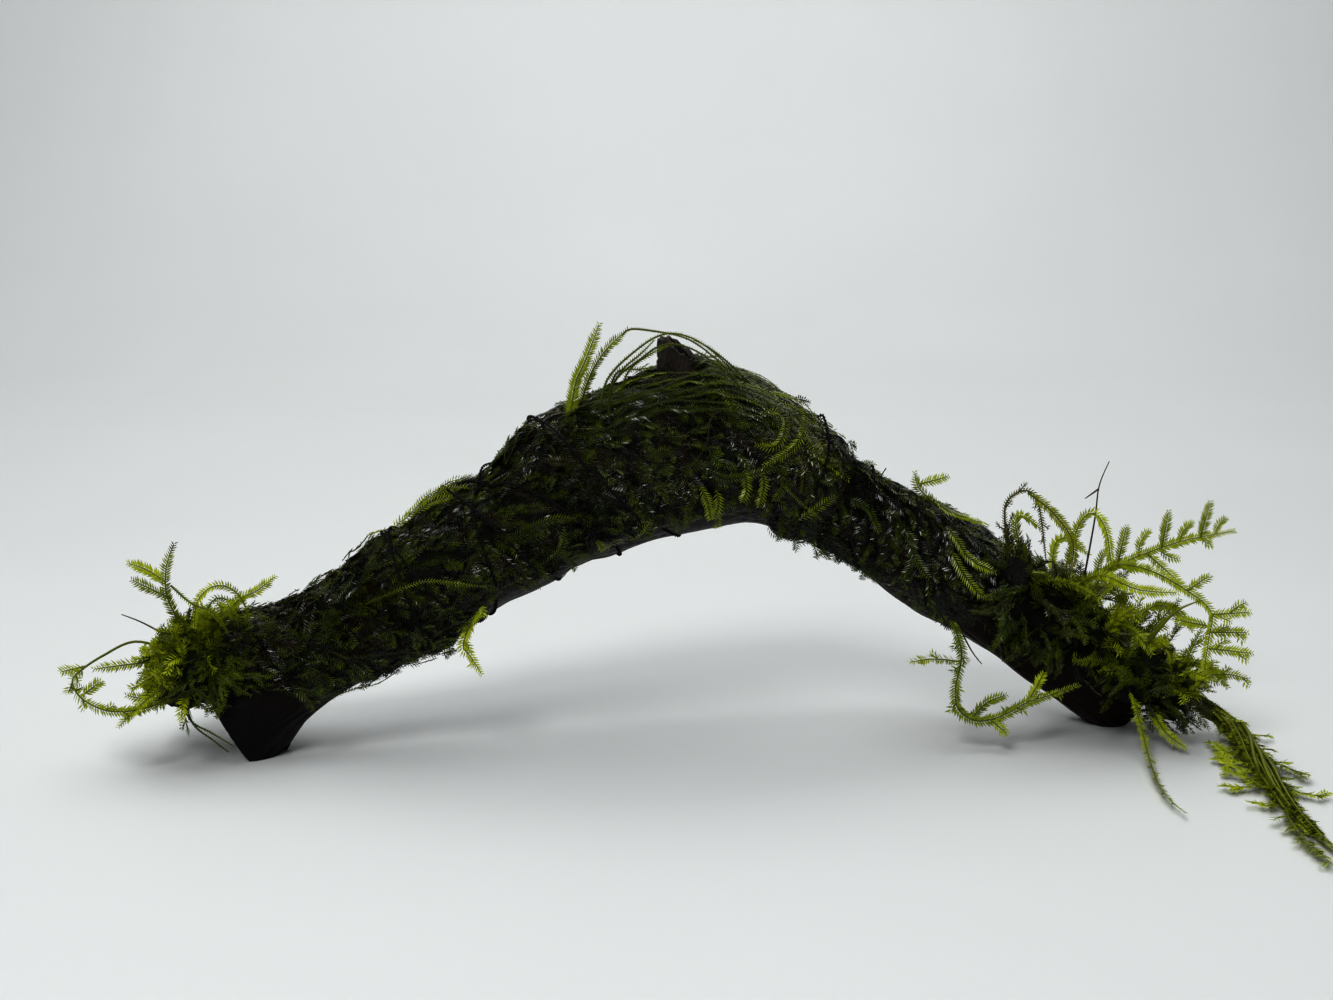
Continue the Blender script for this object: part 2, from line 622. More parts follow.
def makeWood():
    rings, sides = wood["rings"], wood["sides"]
    verts, grey, ridge, black = [], [], [], []
    for i in range(rings + 1):
        along = i / rings
        for k in range(sides):
            degrees = 360 * k / sides
            angle = math.radians(degrees)
            bark = ridgeShare(along, degrees)
            lift = woodGrain(along, angle)
            if bark > 0:  # peeling bark on the bare ridge
                flake = noise.noise(Vector((along * 70, math.cos(angle) * 7, math.sin(angle) * 7)))
                lift += bark * mm * (0.45 * flake + 0.25 * (flake > 0.12))
            verts.append(surface(along, degrees, lift))
            turn = (degrees + 180) % 360 - 180
            low = math.exp(-((turn + 150) / 30) ** 2)
            grey.append(low * smoothStep(along, 0.2, 0.27) * (1 - smoothStep(along, 0.56, 0.66)))
            ridge.append(bark)
            black.append(1 - smoothStep(along, 0.05, 0.20))
    faces = []
    for i in range(rings):
        for k in range(sides):
            a, b = i * sides + k, i * sides + (k + 1) % sides
            faces.append((a, b, b + sides, a + sides))
    faces += [tuple(reversed(range(sides))), tuple(rings * sides + k for k in range(sides))]
    mesh = meshFrom("wood", verts, faces, greyBare=grey, ridgeBark=ridge, blackFoot=black)
    body = bmesh.new()
    body.from_mesh(mesh)
    grain = body.loops.layers.uv.new("grain")
    for face in body.faces:
        for loop in face.loops:
            i, k = divmod(loop.vert.index, sides)
            if face.index % sides == sides - 1 and k == 0:
                k = sides
            loop[grain].uv = (i / rings * spineLength * 100, k / sides * 6.0)
    for point, normal in ((Vector(wood["breakPoint"]) * mm, Vector(wood["breakNormal"])),
                          (Vector(), Vector((0, 0, -1)))):
        cut = bmesh.ops.bisect_plane(body, geom=[*body.verts, *body.edges, *body.faces], dist=1e-7,
                                     plane_co=point, plane_no=normal, clear_outer=True)
        rim = [item for item in cut["geom_cut"] if isinstance(item, bmesh.types.BMEdge)]
        bmesh.ops.holes_fill(body, edges=rim)
    bmesh.ops.recalc_face_normals(body, faces=body.faces)
    body.to_mesh(mesh)
    body.free()
    mesh.shade_smooth()
    return linked("woodArms", mesh, woodMaterial)


def makeStub():
    base, top = Vector(wood["stubBase"]) * mm, Vector(wood["stubTop"]) * mm
    axis = (top - base).normalized()
    turn = axis.to_track_quat("Z", "Y")
    sides, rings = 56, 34
    length = (top - base).length
    verts, bark = [], []

    def ring(share, inset, sink):
        for k in range(sides):
            angle = 2 * math.pi * k / sides
            aside = turn @ Vector((math.cos(angle), math.sin(angle), 0))
            uneven = 1 + 0.12 * math.cos(2 * angle + 1) + 0.08 * math.cos(3 * angle + 4 * share)
            radius = wood["stubRadius"] * (1.26 - 0.20 * share) * uneven
            spot = Vector((share * 5.0, math.cos(angle) * 3.2, math.sin(angle) * 3.2))
            radius += mm * (0.28 * noise.noise(spot) - 0.35 * max(0.0, 1 - abs(noise.noise(spot * 1.7)) * 6))
            # the break slants down to the right
            rim = 0.9 - 3.6 * smoothStep(aside.x - 0.15 * aside.y, -0.8, 1.0)
            height = (length + rim * mm) * share
            height += mm * (0.5 * noise.noise(spot * 2) + 0.4 * noise.noise(spot * 5)) * share ** 6 - sink
            radius = max(radius - inset, 0.3 * mm)
            verts.append(base + turn @ Vector((radius * math.cos(angle), radius * math.sin(angle), height)))
            bark.append(0.85 if inset < 1.2 * mm else 0.0)

    for i in range(rings + 1):
        ring(i / rings, 0.0, 0.0)
    for inset, sink in ((0.5, -0.1), (1.1, 0.1), (1.35, 0.9), (1.6, 2.2), (2.2, 3.0), (3.3, 3.1)):
        ring(1.0, inset * mm, sink * mm)
    count = rings + 7
    faces = [(i * sides + k, i * sides + (k + 1) % sides, (i + 1) * sides + (k + 1) % sides,
              (i + 1) * sides + k)
             for i in range(count - 1) for k in range(sides)]
    faces.append(tuple((count - 1) * sides + k for k in range(sides)))
    zero = [0.0] * len(verts)
    mesh = meshFrom("stub", verts, faces, greyBare=zero, ridgeBark=bark,
                    blackFoot=[0.0 if b else 0.9 for b in bark])
    mesh.uv_layers.new(name="grain")
    for loop in mesh.loops:
        i, k = divmod(loop.vertex_index, sides)
        mesh.uv_layers["grain"].data[loop.index].uv = (i / rings * 1.5, k / sides * 2.4)
    mesh.shade_smooth()
    return linked("woodStub", mesh, woodMaterial)


woodBody = joinAll("spiderwood", [makeWood(), makeStub()])
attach(woodBody, "root")
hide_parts("wood_left_arm", "wood_right_arm", "wood_stub")
print("wood made")


# Coats: a dense felt on the wood, covered with short combed shoots

def combDirection(along, turn):
    forward = surface(min(along + 0.004, 1.0), turn) - surface(max(along - 0.004, 0.0), turn)
    side = surface(along, turn + 3) - surface(along, turn - 3)
    down = -1.0 if turn < 0 else 1.0
    sway = noise.noise(Vector((along * 26, turn * 0.035, 7.0)))
    mix = 0.25 + 0.75 * smoothStep(abs(turn), 40, 125)
    heading = forward.normalized() * (1.0 - 0.45 * mix) + side.normalized() * (down * mix + 0.9 * sway)
    return heading.normalized()


# place along, degrees round, length along, spread in degrees, how much brighter
tonePatches = (
    (0.455, -86, 0.030, 30, 0.26), (0.415, -70, 0.025, 26, 0.24), (0.465, 0, 0.06, 30, 0.54),
    (0.560, -8, 0.034, 32, 0.60), (0.583, -52, 0.026, 36, 0.56), (0.300, 0, 0.05, 22, 0.42),
    (0.215, -8, 0.04, 34, 0.36), (0.24, -95, 0.03, 28, 0.18), (0.74, 30, 0.04, 40, 0.22),
    (0.525, -108, 0.03, 24, 0.20), (0.72, -60, 0.06, 50, -0.34), (0.50, -75, 0.03, 34, -0.22),
)


def coatTone(along, turn):
    tone = -0.03 + 0.26 * noise.noise(Vector((along * 22, turn * 0.022, 2.0)))
    tone -= 0.12 * smoothStep(abs(turn), 45, 105)
    for place, where, length, width, amount in tonePatches:
        tone += amount * math.exp(-((along - place) / length) ** 2 - ((turn - where) / width) ** 2)
    return min(max(tone, 0.0), 1.0)


def skinLift(along, degrees):
    front, back = coverEdges(along)
    turn = (degrees + 180) % 360 - 180
    edge = smoothStep(min(turn + front, back - turn), -2.0, 12.0)
    angle = math.radians(degrees)
    spot = Vector((along * 62, math.cos(angle) * 3.6, math.sin(angle) * 3.6))
    lump = noise.noise(spot) + 0.6 * noise.noise(spot * 2.3)
    lift = (coat["lift"] + coatDepth(along, degrees) * 0.86 + coat["lumpHeight"] * lump) * edge
    return lift + (-1.0 * mm - lift) * smoothStep(ridgeShare(along, degrees), 0.15, 0.7)


def makeCoatSkin(name):
    start, stop = coat["spans"][name]
    start = coat["visualStart"] if name == "mossMatLeft" else start
    rows = max(8, round((stop - start) * spineLength / coat["cell"]))
    columns = round(math.radians(coat["girthDegrees"]) * coat["girthRadius"] / coat["cell"])
    verts, comb, tones, cover = [], [], [], []
    for i in range(rows + 1):
        along = start + (stop - start) * i / rows
        front, back = coverEdges(along)
        front += 5.0 * noise.noise(Vector((along * 150, 1.0, 0)))
        back += 5.0 * noise.noise(Vector((along * 150, 5.0, 0)))
        atEnd = min((along - start) * spineLength, (stop - along) * spineLength)
        for k in range(columns + 1):
            share = k / columns
            degrees = -front + (front + back) * share
            edge = smoothStep(min(share, 1 - share) * (front + back), 0.0, 11.0)
            edge = min(edge, 0.55 + 0.45 * smoothStep(atEnd, 0.0, 1.6 * mm))
            lift = skinLift(along, degrees) * edge - 0.35 * mm * (1 - edge)
            bare = ridgeShare(along, degrees)
            verts.append(surface(along, degrees, lift))
            comb.append(tuple(combDirection(along, degrees)))
            tones.append(coatTone(along, degrees))
            cover.append(0.0 if bare > 0.08 else 1.0)
    width = columns + 1
    faces = [(i * width + k, i * width + k + 1, (i + 1) * width + k + 1, (i + 1) * width + k)
             for i in range(rows) for k in range(columns)]
    mesh = meshFrom(name, verts, faces, comb=comb, skinTone=tones, tone=tones, cover=cover)
    mesh.update()
    middle = mesh.polygons[len(mesh.polygons) // 2]
    if middle.normal.dot(middle.center - spineFrame((start + stop) / 2)[0]) < 0:
        mesh.flip_normals()
    mesh.shade_smooth()
    return linked(name, mesh, feltMaterial)


def lyingStem(places, over, wave=0.0, **look):  # a stem that follows the coat; places are (along, degrees)
    scale = (spineLength / mm, 0.2)
    rows = smoothPath([(along * scale[0], degrees * scale[1], 0.0) for along, degrees in places], 0.8)
    points, facing = [], []
    for i, (x, y, _) in enumerate(rows):
        along, degrees = x / scale[0], y / scale[1]
        lift = skinLift(along, degrees) / mm + over + wave * noise.noise(Vector((x * 0.3, y * 0.3, over * 9)))
        centre, up, back, mean = spineFrame(along)
        out = up * math.cos(math.radians(degrees)) + back * math.sin(math.radians(degrees))
        points.append(tuple(centre / mm + out * (woodRadius(along, degrees, mean) / mm + lift)))
        facing.append(tuple(out))
    return {**shoot, "facing": facing, "points": np.array(points), **look}


def lyingFronds(name, count, seed):
    rng = random.Random(seed)
    start, stop = coat["spans"][name]
    start = coat["visualStart"] if name == "mossMatLeft" else start
    stems = []
    for k in range(count):
        along = rng.uniform(start + 0.004, stop - 0.002)
        front, back = coverEdges(along)
        degrees = rng.uniform(-front + 2, back - 4)
        field = noise.noise(Vector((along * 15, degrees * 0.018, seed)))
        heading = math.radians(-24 + 120 * field + rng.gauss(0, 24))
        heading += math.pi if rng.random() < 0.25 else 0.0
        bend = rng.gauss(0, 0.06)
        length = rng.uniform(4.0, 11.0)
        places, turn = [(along, degrees)], degrees
        for _ in range(max(3, round(length / 1.6))):
            along += math.cos(heading) * 1.6 * mm / spineLength
            turn += math.sin(heading) * 1.6 / 0.2 * 0.85
            heading += bend
            inside = start - 0.01 < along < stop + 0.01 and -front - 1 < turn < back + 1
            if not inside or ridgeShare(along, turn) > 0.12:
                break
            places.append((along, turn))
        if len(places) > 2 and ridgeShare(*places[0]) < 0.3:
            tone = coatTone(*places[0]) + rng.gauss(-0.01, 0.13) + (0.36 if rng.random() < 0.06 else 0.0)
            stems.append(lyingStem(places, over=rng.uniform(0.0, 0.40), tone=min(max(tone, 0.0), 1.0),
                                   thick=0.055, tipThick=0.03, leaf=rng.uniform(0.75, 1.10),
                                   age=rng.choice((0, 0, 0, 0, 0.35, 0.7))))
    return stems


def coverWith(skin, shoots, seed, material, **values):
    copy = linked(skin.name + "Shoots", skin.data.copy())
    return runTree(copy, shootCoverTree, Shoots=shoots, Seed=seed, Material=material, **values)


pale = {"tone": 0.76, "leaf": 1.05, "thick": 0.10}
olive = {"tone": 0.52, "leaf": 0.95, "thick": 0.09}
bareStrand = {"tone": 0.35, "leaf": 0.0, "thick": 0.13, "age": 0.5}
lyingByHand = {
    "mossMatLeft": (
        (((0.213, -65), (0.249, -71), (0.267, -74), (0.285, -86), (0.303, -101)),
         {**pale, "over": 0.9, "leaf": 0.5}),
        (((0.168, -2), (0.18, 13), (0.198, -11)), {**olive, "over": 1.0}),
        (((0.267, -8), (0.291, -3), (0.306, 2), (0.336, -6)),
         {**pale, "over": 0.9, "tone": 0.86, "leaf": 0.9, "facing": (0.1, -0.9, 0.5)}),
        (((0.275, 4), (0.296, 8), (0.320, 4), (0.345, 8)),
         {**pale, "over": 1.0, "leaf": 0.8, "tone": 0.62, "facing": (0.0, -0.9, 0.5)}),
        (((0.262, -14), (0.274, -10), (0.290, -12)),
         {**pale, "over": 1.0, "tone": 0.85, "facing": (0.2, -0.9, 0.4)}),
        (((0.290, -18), (0.306, -15), (0.322, -19)),
         {**pale, "over": 0.9, "tone": 0.8, "facing": (-0.1, -0.9, 0.4)}),
        (((0.204, 13), (0.219, 7), (0.237, 1), (0.252, 13)), {**pale, "over": 0.8}),
        (((0.219, -38), (0.237, -44), (0.258, -47), (0.279, -50)), {**olive, "over": 0.7}),
        (((0.336, -83), (0.354, -83), (0.381, -86), (0.402, -92)), {**olive, "over": 0.7}),
        (((0.339, -110), (0.357, -107), (0.378, -104), (0.39, -95)), {**olive, "over": 0.7}),
        (((0.36, -124), (0.385, -138), (0.404, -142)), {**bareStrand, "over": 1.2, "leaf": 0.3, "tone": 0.7}),
        (((0.123, -119), (0.144, -134), (0.168, -140), (0.201, -146)), {**olive, "over": 0.6}),
    ), "mossMatCrown": (
        (((0.411, -110), (0.417, -125), (0.435, -125), (0.462, -110)), {**pale, "over": 0.8, "tone": 0.75}),
        (((0.537, -50), (0.528, -56), (0.525, -71), (0.519, -80), (0.51, -86)),
         {"tone": 0.5, "leaf": 0.0, "thick": 0.19, "age": 0.9, "over": 1.3}),
        (((0.564, -32), (0.579, -20), (0.588, -41), (0.588, -59), (0.582, -71), (0.57, -83)),
         {**pale, "over": 1.3}),
        (((0.561, -50), (0.57, -44), (0.576, -50), (0.576, -65), (0.57, -71), (0.561, -71)),
         {**pale, "over": 1.1}),
        (((0.522, -89), (0.54, -95), (0.561, -92), (0.579, -83)), {**olive, "over": 1.0}),
        (((0.453, -11), (0.483, -11), (0.504, -17), (0.525, -26), (0.546, -29)),
         {**olive, "over": 1.2, "leaf": 0.5}),
        (((0.423, -26), (0.459, -23), (0.489, -26), (0.516, -35), (0.546, -41)),
         {**olive, "over": 1.0, "leaf": 0.5}),
        (((0.483, -41), (0.507, -41), (0.531, -44), (0.552, -47), (0.573, -50)),
         {**olive, "over": 1.1, "leaf": 0.5}),
        (((0.525, -8), (0.543, -17), (0.558, -17), (0.579, -20), (0.597, -41)), {**olive, "over": 1.5}),
        (((0.534, -23), (0.549, -35), (0.567, -38), (0.588, -50), (0.603, -65)), {**olive, "over": 1.3}),
        (((0.516, -98), (0.522, -107), (0.528, -122)), {**pale, "over": 1.0}),
        (((0.531, -101), (0.534, -110), (0.531, -119)), {**pale, "over": 0.9}),
        (((0.555, -89), (0.561, -101), (0.561, -110)), {**pale, "over": 0.9}),
        (((0.57, -89), (0.576, -98), (0.579, -113)), {**pale, "over": 0.9}),
        (((0.582, -83), (0.591, -92), (0.591, -107)), {**olive, "over": 0.9}),
        (((0.588, -92), (0.612, -100), (0.636, -106)), {**pale, "over": 1.4, "leaf": 0.35}),
        (((0.621, -116), (0.629, -101), (0.636, -83)), {**pale, "over": 0.8}),
        (((0.531, -122), (0.537, -131), (0.54, -140)), {**pale, "over": 0.9}),
    ),
    "mossMatRight": (
        (((0.741, -53), (0.756, -62), (0.774, -68), (0.795, -65)), {**pale, "over": 1.0}),
        (((0.753, -71), (0.771, -83), (0.789, -89), (0.80, -89)), {**pale, "over": 1.0}),
        (((0.723, -26), (0.738, -32), (0.756, -26), (0.783, 1)), {**pale, "over": 1.0}),
        (((0.672, -32), (0.681, -20), (0.687, -20)), {**bareStrand, "over": 1.6}),
        (((0.651, -77), (0.672, -77), (0.69, -89)), {**olive, "over": 0.7}),
        (((0.714, -83), (0.732, -95), (0.747, -101)), {**olive, "over": 0.8}),
    ),
}
combed = random.Random(6)  # stems combed over the foot of the stub
lyingByHand["mossMatCrown"] += tuple(
    (((0.440 + combed.uniform(0, 0.03), -50 + 3.6 * k + combed.uniform(-4, 4)),
      (0.492, -46 + 3.6 * k + combed.uniform(-4, 4)), (0.535, -46 + 3.8 * k + combed.uniform(-5, 5)),
      (0.565 + combed.uniform(0, 0.03), -56 + 5.0 * k + combed.uniform(-7, 7))),
     {"tone": combed.uniform(0.28, 0.66), "leaf": combed.uniform(0.6, 1.0), "thick": 0.06,
      "over": combed.uniform(0.7, 1.9), "wave": 1.2}) for k in range(7))
coatLook = {
    "mossMatLeft": {"fronds": 1250, "Density": 220000.0, "Small": 0.6, "Large": 1.1},
    "mossMatCrown": {"fronds": 1250, "Density": 220000.0, "Small": 0.6, "Large": 1.1},
    "mossMatRight": {"fronds": 640, "Density": 240000.0, "Small": 0.5, "Large": 1.0},
}
coatPieces = {}
for seed, (name, look) in enumerate(coatLook.items()):
    fronds = lyingFronds(name, look.pop("fronds"), 50 + seed)
    fronds += [lyingStem(places, **{**own, "over": own["over"] + coat["handLift"]})
               for places, own in lyingByHand[name]]
    flat = growStems(name + "Lying", fronds, 40 + seed, coatMaterial, narrowLeaves, Leaf_spacing=0.52 * mm,
                     Stem_sides=3, Stem_step=1.8 * mm, Roll=0.16)
    skin = makeCoatSkin(name)
    shoots = coverWith(skin, combedShoots, 60 + seed, coatMaterial, Lean_low=-0.10, Lean_high=0.13, Fan=0.9,
                       Roll=0.40, **look)
    coatPieces[name] = [skin, shoots, flat]
    print(name, len(shoots.data.polygons), "faces of shoots,", len(flat.data.polygons), "of lying fronds")


# Tufts: a dense uneven middle, larger shoots over it, and the free fronds

tuftVoxel = 1.1 * mm
tuftLeft = {
    "lumps": ((-86.0, 11.5, 16.5, 7.0, 10.0, 6.6), (-90.0, 12.0, 14.5, 4.4, 8.5, 5.8),
              (-81.5, 14.5, 17.5, 6.8, 11.0, 6.6), (-86.0, 20.0, 16.0, 7.0, 9.5, 6.5)),
    "tone": 0.40, "slope": (-0.060, 0.030), "low": (9.0, 14.0), "material": frondMaterial,
    "lean": (0.0, 0.75),
    "loose": {"count": 78, "above": 12.0, "start": 0.95, "reach": (2.6, 5.2), "toward": (-0.75, -0.50, 0.80),
              "tones": (0.50, 0.86)},
    "fronds": {
        "upright": (((-88.5, 12, 21), (-90.5, 10, 27), (-91.5, 9, 31), (-91, 8, 36), (-89.5, 8, 40)),
                    {"deadTip": 0.9, "tone": 0.8, "leaf": 1.1, "facing": (0.2, -1, 0.1)}),
        "toRight": (((-90.5, 8.5, 32.5), (-86.5, 7, 29.5), (-83, 7, 28), (-81, 9, 24)),
                    {"leaf": 0.55, "tone": 0.7}),
        "highArch": (((-79.5, 13, 20), (-77.5, 10, 27), (-79, 8, 31.5), (-82, 6, 33), (-85.5, 7, 30),
                      (-87, 10, 24)), {"leaf": 0.85}),
        "lowArch": (((-80.5, 15, 21), (-80.8, 16.5, 26.5), (-84.5, 15, 28.5), (-87.5, 13, 22)),
                    {"leaf": 0.65, "tone": 0.65}),
        "shortRight": (((-84, 13, 22), (-80.5, 15.5, 28), (-77.3, 17, 29.5), (-74, 18, 32)), {}),
        "hook": (((-91, 13, 19), (-98, 11.5, 21.5), (-103, 8, 19.8), (-106.3, 4, 17.8), (-106.5, 1, 16.6),
                  (-103.5, -3, 14.8), (-98.5, -4, 13), (-93.5, 1, 12.2), (-90, 7, 13)),
                 {"bare": (0.10, 0.38), "side": 0.35, "sideFrom": 0.42, "thick": 0.24, "tone": 0.78}),
        "middle": (((-93, 9, 18.5), (-97.5, 5, 19), (-102.5, 1, 19.2)), {"facing": (0.6, -0.8, 0.6)}),
        "lowLeft": (((-90, 11, 12), (-93.5, 8, 11.5), (-98.5, 6, 13)), {}),
        "lowThin": (((-90, 6, 16), (-94.5, 0, 13), (-97.5, -3, 10)), {}),
        "drooping": (((-86.5, 7, 15), (-87.5, 2, 13), (-87.5, 0.5, 10)), {}),
        "backHigh": (((-84, 24, 19), (-84.5, 31, 21.5), (-87, 37, 20), (-90.5, 42, 16)), {}),
        "backRight": (((-83.5, 23, 18), (-79.5, 31, 18.5), (-77, 37, 15)), {}),
        "backLeft": (((-91, 20, 17), (-97, 27, 18), (-101.5, 31, 15)), {}),
        "deadTwig": (((-92, 17, 20), (-98.5, 19, 23), (-103.5, 22, 24)), {"leaf": 0.0, "age": 1.0}),
        "footStem": (((-88.5, 6, 14), (-86.8, 3, 9.5), (-83, 3, 7), (-79.5, 3.6, 4.5)),
                     {"leaf": 0.35, "tone": 0.5}),
        "footStemLow": (((-88.0, 5, 12), (-86.0, 2.6, 8.6), (-82.6, 2.4, 5.8), (-80.2, 3.2, 3.4)),
                        {"leaf": 0.3, "tone": 0.4}),
        "uprightLeft": (((-90.8, 9, 30), (-96.5, 6, 34)), {"facing": (0.3, -0.85, 0.4)}),
        "uprightHigh": (((-91.3, 8.6, 33), (-95, 10, 35), (-98.5, 11, 36)), {}),
        "hookTip": (((-105.5, 5.5, 18.5), (-109.0, 3, 18.2)), {"facing": (0.5, -0.7, 0.7)}),
        "hookInner": (((-104, -2, 15.2), (-101, -1, 17.5)), {}),
    },
}
tuftRight = {
    "lumps": ((62.5, 26.0, 27.5, 5.6, 9.5, 6.8), (68.0, 26.0, 23.5, 6.4, 10.0, 6.8),
              (76.5, 24.5, 16.5, 6.6, 10.0, 6.2), (84.5, 21.5, 12.2, 6.0, 8.5, 5.6),
              (90.5, 19.5, 9.4, 4.2, 6.0, 4.2),
              (72.5, 36.0, 21.0, 7.5, 7.5, 6.2), (84.5, 34.0, 12.5, 6.0, 7.5, 5.6)),
    "tone": 0.14, "slope": (0.022, -0.004), "low": (9.0, 15.0), "material": coatMaterial,
    "lean": (0.10, 1.05),
    "loose": {"count": 54, "above": 9.0, "start": 0.60, "reach": (8.0, 15.0), "toward": (0.45, -0.25, 0.55),
              "tones": (0.45, 1.0)},
    "fronds": {
        "brownArch": (((61, 24, 32), (59.5, 20.5, 40.5), (59.5, 20, 45.5), (63, 21, 47.5), (65.5, 21, 45),
                       (67.5, 22, 34)),
                      {"age": 0.75, "leaf": 0.6, "side": 0.3}),
        "slope": (((63.5, 21, 47), (67.5, 19, 44), (71.5, 18.5, 38.5), (72, 22, 32)), {"age": 0.4}),
        "backLying": (((66, 29, 30), (63, 29, 39), (64.5, 31, 41), (68.5, 33, 38)), {}),
        "peak": (((72, 26, 32), (74, 25.5, 40), (76.5, 25.5, 42.5), (79, 24.5, 39), (80.5, 24, 29)), {}),
        "longUpper": (((72, 28, 27), (79, 27, 31), (86.5, 28, 34), (95, 29.5, 36.5), (104.5, 31, 38)),
                      {"side": 1.2}),
        "upperSideA": (((82, 27.3, 32.5), (83.5, 28, 39.4)), {}),
        "upperSideB": (((90.5, 28.8, 35.3), (91.5, 29, 42.0)), {}),
        "upperSideC": (((98, 30, 37), (99.5, 30, 43.6)), {}),
        "upperSideD": (((87.5, 28, 34.3), (93.0, 23, 29.5)), {}),
        "longDroop": (((76, 22, 28), (79.5, 20.5, 33.5), (85.5, 18, 33.2), (91.5, 14, 30.3), (95.3, 11.5, 27),
                       (94.7, 10, 22.5), (93.8, 8.5, 17), (94.5, 8, 13.5)), {}),
        "droopSideA": (((91.5, 14, 30.3), (95, 13, 33.2)), {}),
        "droopSideB": (((95.2, 11.3, 26.5), (100.8, 7, 28)), {"side": 0.5}),
        "droopSideC": (((94.9, 10.4, 23.5), (100.8, 8, 24)), {"side": 0.5}),
        "droopSideD": (((94.5, 9.6, 20.7), (101.5, 7, 20.5)), {"side": 0.5}),
        "droopSideE": (((95, 10.7, 24.5), (89.5, 14, 25)), {}),
        "thickStem": (((85, 18, 18), (86.5, 14, 23), (89.5, 12.5, 27), (93.5, 12, 29)),
                      {"leaf": 0.0, "thick": 0.5}),
        "level": (((73, 20, 30), (76, 14.5, 33), (82, 12, 31), (88.5, 10, 30.8)), {}),
        "frontLow": (((86, 18, 10), (88, 15.5, 5), (89.8, 14, 2.8), (92, 11.8, 1.6)), {}),
        "frontFloor": (((82, 17, 14), (83, 12, 8), (83.5, 6, 2.6), (82.3, -6, 1.2), (81.9, -16, 1.2),
                        (82.8, -22.6, 1.2)),
                       {"facing": (0.2, -0.6, 1), "leaf": 0.9, "side": 0.12}),
        "backHigh": (((72, 38, 28), (73.5, 43.5, 33), (77, 46.5, 33.5), (81, 47.5, 30)), {}),
        "backRight": (((87, 36, 18), (92.5, 41, 21), (98, 44.5, 19.5), (102, 46, 15)), {}),
        "backLeft": (((71, 38, 28), (64, 43, 32.5), (58, 46, 31)), {}),
        "rightLow": (((91, 27, 12), (97, 29, 13), (102, 30.5, 11), (105.5, 33, 7)), {}),
        "deadTwig": (((75.5, 26, 30), (77.3, 27, 41), (78.2, 28.5, 47), (80.5, 31, 51.3)),
                     {"leaf": 0.0, "age": 1.0}),
        "deadTwigSide": (((78.1, 28.3, 46.5), (75.4, 27.5, 44.8)), {"leaf": 0.0, "age": 1.0}),
    },
}


def makeTuftMiddle(name, tuft):
    lumps, slope = tuft["lumps"], tuft["slope"]
    body = bmesh.new()
    for x, y, z, a, b, c in lumps:
        size = Matrix.Diagonal((a * 0.93 * mm, b * 0.93 * mm, c * 0.93 * mm, 1))
        bmesh.ops.create_icosphere(body, subdivisions=4, radius=1.0,
                                   matrix=Matrix.Translation(Vector((x, y, z)) * mm) @ size)
    mesh = bpy.data.meshes.new(name)
    body.to_mesh(mesh)
    body.free()
    made = linked(name, mesh, feltMaterial)
    step = made.modifiers.new("grownTogether", "REMESH")
    step.mode, step.voxel_size = "VOXEL", tuftVoxel
    plainMesh(made)
    mesh = made.data
    centre = sum((Vector(lump[:3]) * mm for lump in lumps), Vector()) / len(lumps)
    comb, tones, cover = [], [], []
    for vert in mesh.vertices:
        normal = vert.normal.copy()
        spot = vert.co / (3.2 * mm)
        vert.co += normal * 1.0 * mm * (noise.noise(spot) + 0.55 * noise.noise(spot * 2.4))
        vert.co.z = max(vert.co.z, 0.6 * mm)
        out = (vert.co - centre).normalized()
        swirl = noise.noise_vector(vert.co / (7 * mm))
        comb.append(tuple((out * 0.5 + swirl * 1.4 + Vector((0, 0, -0.5))).normalized()))
        patch = noise.noise(vert.co / (6 * mm) + Vector((5, 0, 0)))
        away = (vert.co - centre) / mm
        bright = tuft["tone"] + slope[0] * away.x + slope[1] * away.z + 0.36 * normal.z + 0.42 * patch
        tones.append(min(max(bright, 0.0), 1.0))
        high = smoothStep(vert.co.z / mm + 4.0 * normal.z, *tuft["low"])
        cover.append(max(high, smoothStep(vert.co.x, 84.0 * mm, 88.0 * mm),
                         smoothStep(vert.co.y, 29.0 * mm, 33.0 * mm)))
    addLayers(mesh, skinTone=tones, tone=tones, cover=cover, comb=comb)
    mesh.materials.clear()
    mesh.materials.append(feltMaterial)
    mesh.shade_smooth()
    return made


def frondStems(fronds, seed):
    rng = random.Random(seed)
    stems = []
    for points, look in fronds.values():
        look = dict(look)
        side, sideFrom = look.pop("side", 0.0), look.pop("sideFrom", 0.12)
        face = look.pop("facing", (rng.uniform(-0.25, 0.25), -1.0, rng.uniform(0.05, 0.5)))
        main = stem(points, facing=face, **{"tone": rng.uniform(0.80, 1.0), "leaf": 1.08, **look})
        stems.append(main)
        if side:
            stems += sideShoots(main, rng, every=3.4, reach=(3.0 * side + 1.2, 6.5 * side + 1.2),
                                start=sideFrom)
    return stems


